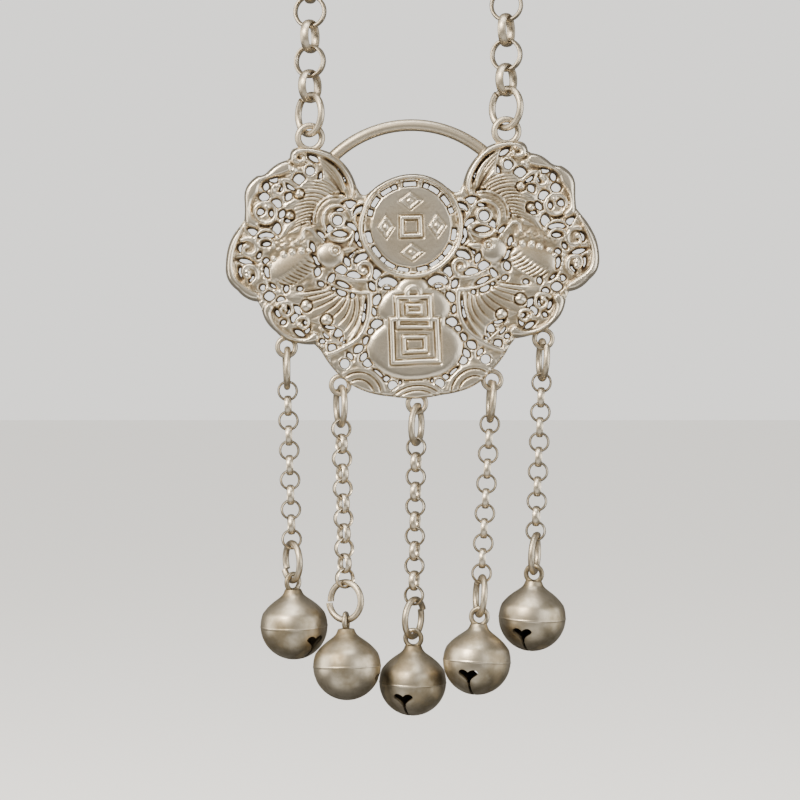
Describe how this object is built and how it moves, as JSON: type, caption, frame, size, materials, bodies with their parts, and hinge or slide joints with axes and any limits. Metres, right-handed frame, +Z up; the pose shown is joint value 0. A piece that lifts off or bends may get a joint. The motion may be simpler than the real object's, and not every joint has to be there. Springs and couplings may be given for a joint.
{
  "type": "longevity lock pendant on its neck chain",
  "caption": "Pierced silver lock-shaped pendant with bats, clouds and waves in relief, a round handle, small bells on short chains below it and a whole neck chain.",
  "frame": {"origin": "the nape, where the top of the chain rests on the back of the neck", "axes": "+Z up, -Y to the front as it is worn, +X to the right of the picture"},
  "size_m": [0.1344, 0.1514, 0.3147],
  "materials": {
    "cast_silver": "worn cast silver alloy, bright on the ridges and darkened in the recesses",
    "wire_silver": "drawn silver wire, softly polished by wear",
    "bell_silver": "pressed silver sheet, satin with a light brown tarnish near the neck",
    "pellet_metal": "dull tarnished metal ball"
  },
  "bodies": {
    "root": {"plaque": "cast_silver", "neck_ring_left": "wire_silver", "neck_ring_right": "wire_silver", "neck_chain": "wire_silver", "ring_upper_1": "wire_silver", "ring_upper_2": "wire_silver", "ring_upper_3": "wire_silver", "ring_upper_4": "wire_silver", "ring_upper_5": "wire_silver", "drop_chain_1": "wire_silver", "drop_chain_2": "wire_silver", "drop_chain_3": "wire_silver", "drop_chain_4": "wire_silver", "drop_chain_5": "wire_silver", "ring_lower_1": "wire_silver", "ring_lower_2": "wire_silver", "ring_lower_3": "wire_silver", "ring_lower_4": "wire_silver", "ring_lower_5": "wire_silver", "bell_1": "bell_silver", "bell_2": "bell_silver", "bell_3": "bell_silver", "bell_4": "bell_silver", "bell_5": "bell_silver", "pellet_1": "pellet_metal", "pellet_2": "pellet_metal", "pellet_3": "pellet_metal", "pellet_4": "pellet_metal", "pellet_5": "pellet_metal"}
  },
  "joints": []
}
